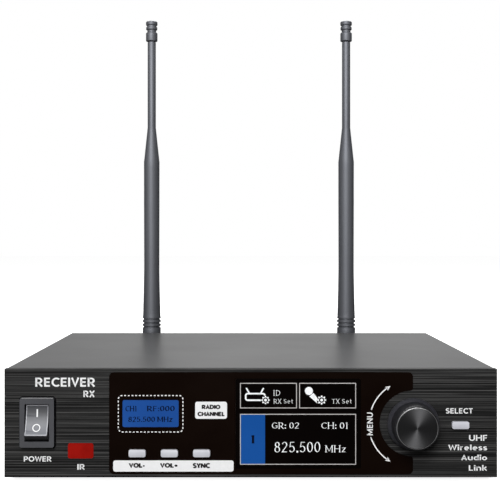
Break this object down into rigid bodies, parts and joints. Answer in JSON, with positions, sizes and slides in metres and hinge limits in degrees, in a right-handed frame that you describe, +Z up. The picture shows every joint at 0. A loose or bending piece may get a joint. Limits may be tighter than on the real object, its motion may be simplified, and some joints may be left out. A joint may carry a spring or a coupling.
{
  "type": "wireless microphone receiver",
  "caption": "Half-rack wireless microphone receiver with a brushed black front, displays, rocker switch, push buttons, menu knob and hinged whip antennas behind.",
  "frame": {"origin": "middle of the footprint on the surface that the rubber feet stand on", "axes": "+Z up, -Y towards the user (the front panel faces -Y), +X to the user's right"},
  "size_m": [0.2118, 0.2026, 0.2375],
  "materials": {
    "panel_black": "black anodised, brushed along its width",
    "overlay_black": "gloss black printed overlay",
    "channel_lcd_blue": "blue backlit display glass",
    "main_lcd_black": "black display glass",
    "display_frame": "satin grey frame",
    "ir_red": "dark red infrared window",
    "emitter": "smoked lens",
    "tray_steel": "plain zinc plated sheet",
    "cover_grey": "satin dark grey powder coat",
    "rear_black": "satin black powder coat",
    "foot_rubber": "matt black rubber",
    "screw_black": "black oxide",
    "screw_zinc": "bright zinc",
    "insert_brass": "turned brass",
    "switch_black": "fine textured dark nylon",
    "rocker_grey": "satin dark grey nylon",
    "button_silver": "satin silver painted plastic",
    "knob_black": "fine textured black",
    "knob_cap_metal": "dark anodised, spun, with a bright chamfer",
    "bare_metal": "nickel plate",
    "board_green": "solder mask over fibre board",
    "component_black": "moulded component bodies",
    "can_tin": "tin plate",
    "lead_grey": "flat ribbon",
    "lead_red": "wire insulation",
    "coax_black": "coaxial cable jacket",
    "connector_black": "moulded connector body",
    "contact_gold": "gold flash",
    "connector_nickel": "nickel plate",
    "antenna_rubber": "satin blue-grey moulded sleeve"
  },
  "bodies": {
    "receiver": {"front_panel": "panel_black", "front_overlay": "overlay_black", "channel_display": "channel_lcd_blue", "main_display": "main_lcd_black", "display_modules": "display_frame", "ir_window": "ir_red", "ir_emitter": "emitter", "base_tray": "tray_steel", "top_cover": "cover_grey", "rear_panel": "rear_black", "rubber_feet": "foot_rubber", "foot_screws": "screw_zinc", "cover_screws": "screw_black", "panel_screws": "screw_zinc", "rear_panel_screws": "screw_black", "rack_ear_inserts": "insert_brass", "power_switch_body": "switch_black", "power_switch_terminals": "insert_brass", "display_board": "board_green", "display_board_pillars": "insert_brass", "display_board_screws": "screw_zinc", "tact_switches": "component_black", "encoder_body": "bare_metal", "encoder_nut": "bare_metal", "main_board": "board_green", "main_board_pillars": "insert_brass", "main_board_screws": "screw_zinc", "rf_shield_cans": "can_tin", "board_components": "component_black", "display_ribbon": "lead_grey", "switch_leads": "lead_red", "coax_leads": "coax_black", "xlr_shell": "connector_black", "xlr_insert": "connector_black", "xlr_pins": "contact_gold", "jack_output": "connector_black", "jack_nut": "bare_metal", "dc_inlet": "connector_black", "antenna_sockets": "connector_nickel", "antenna_socket_nuts": "connector_nickel"},
    "power_rocker": {"power_rocker": "rocker_grey"},
    "volume_down_button": {"volume_down_button": "button_silver"},
    "volume_up_button": {"volume_up_button": "button_silver"},
    "sync_button": {"sync_button": "button_silver"},
    "select_button": {"select_button": "button_silver"},
    "menu_knob": {"encoder_shaft": "bare_metal", "menu_knob": "knob_black", "menu_knob_cap": "knob_cap_metal"},
    "coupling_ring_left": {"coupling_ring_left": "connector_nickel"},
    "antenna_swivel_left": {"antenna_swivel_left": "antenna_rubber", "hinge_pin_left": "bare_metal"},
    "antenna_left": {"antenna_sleeve_left": "antenna_rubber", "antenna_tip_left": "antenna_rubber", "antenna_rod_left": "insert_brass"},
    "coupling_ring_right": {"coupling_ring_right": "connector_nickel"},
    "antenna_swivel_right": {"antenna_swivel_right": "antenna_rubber", "hinge_pin_right": "bare_metal"},
    "antenna_right": {"antenna_sleeve_right": "antenna_rubber", "antenna_tip_right": "antenna_rubber", "antenna_rod_right": "insert_brass"}
  },
  "joints": [
    {"name": "power_rocker_tilt", "type": "hinge", "parent": "receiver", "child": "power_rocker", "pos_m": [-0.0908, -0.0878, 0.0265], "axis": [1, 0, 0], "range_deg": [0, 36]},
    {"name": "volume_down_button_press", "type": "slide", "parent": "receiver", "child": "volume_down_button", "axis": [0, 1, 0], "range_m": [0, 0.0008], "stiffness_N_per_m": 400},
    {"name": "volume_up_button_press", "type": "slide", "parent": "receiver", "child": "volume_up_button", "axis": [0, 1, 0], "range_m": [0, 0.0008], "stiffness_N_per_m": 400},
    {"name": "sync_button_press", "type": "slide", "parent": "receiver", "child": "sync_button", "axis": [0, 1, 0], "range_m": [0, 0.0008], "stiffness_N_per_m": 400},
    {"name": "select_button_press", "type": "slide", "parent": "receiver", "child": "select_button", "axis": [0, 1, 0], "range_m": [0, 0.0008], "stiffness_N_per_m": 400},
    {"name": "menu_knob_turn", "type": "hinge", "parent": "receiver", "child": "menu_knob", "pos_m": [0.069, -0.0893, 0.026], "axis": [0, 1, 0], "continuous": true},
    {"name": "coupling_ring_left_turn", "type": "hinge", "parent": "receiver", "child": "coupling_ring_left", "pos_m": [-0.0594, 0.0833, 0.026], "axis": [0, 1, 0], "range_deg": [0, 90]},
    {"name": "antenna_left_swivel", "type": "hinge", "parent": "receiver", "child": "antenna_swivel_left", "pos_m": [-0.0594, 0.0957, 0.026], "axis": [0, -1, 0], "range_deg": [-12, 90]},
    {"name": "antenna_left_tilt", "type": "hinge", "parent": "antenna_swivel_left", "child": "antenna_left", "pos_m": [-0.0594, 0.0957, 0.026], "axis": [-1, 0, 0], "range_deg": [0, 90]},
    {"name": "coupling_ring_right_turn", "type": "hinge", "parent": "receiver", "child": "coupling_ring_right", "pos_m": [0.0594, 0.0833, 0.026], "axis": [0, 1, 0], "range_deg": [0, 90]},
    {"name": "antenna_right_swivel", "type": "hinge", "parent": "receiver", "child": "antenna_swivel_right", "pos_m": [0.0594, 0.0957, 0.026], "axis": [0, 1, 0], "range_deg": [-12, 90]},
    {"name": "antenna_right_tilt", "type": "hinge", "parent": "antenna_swivel_right", "child": "antenna_right", "pos_m": [0.0594, 0.0957, 0.026], "axis": [-1, 0, 0], "range_deg": [0, 90]}
  ]
}
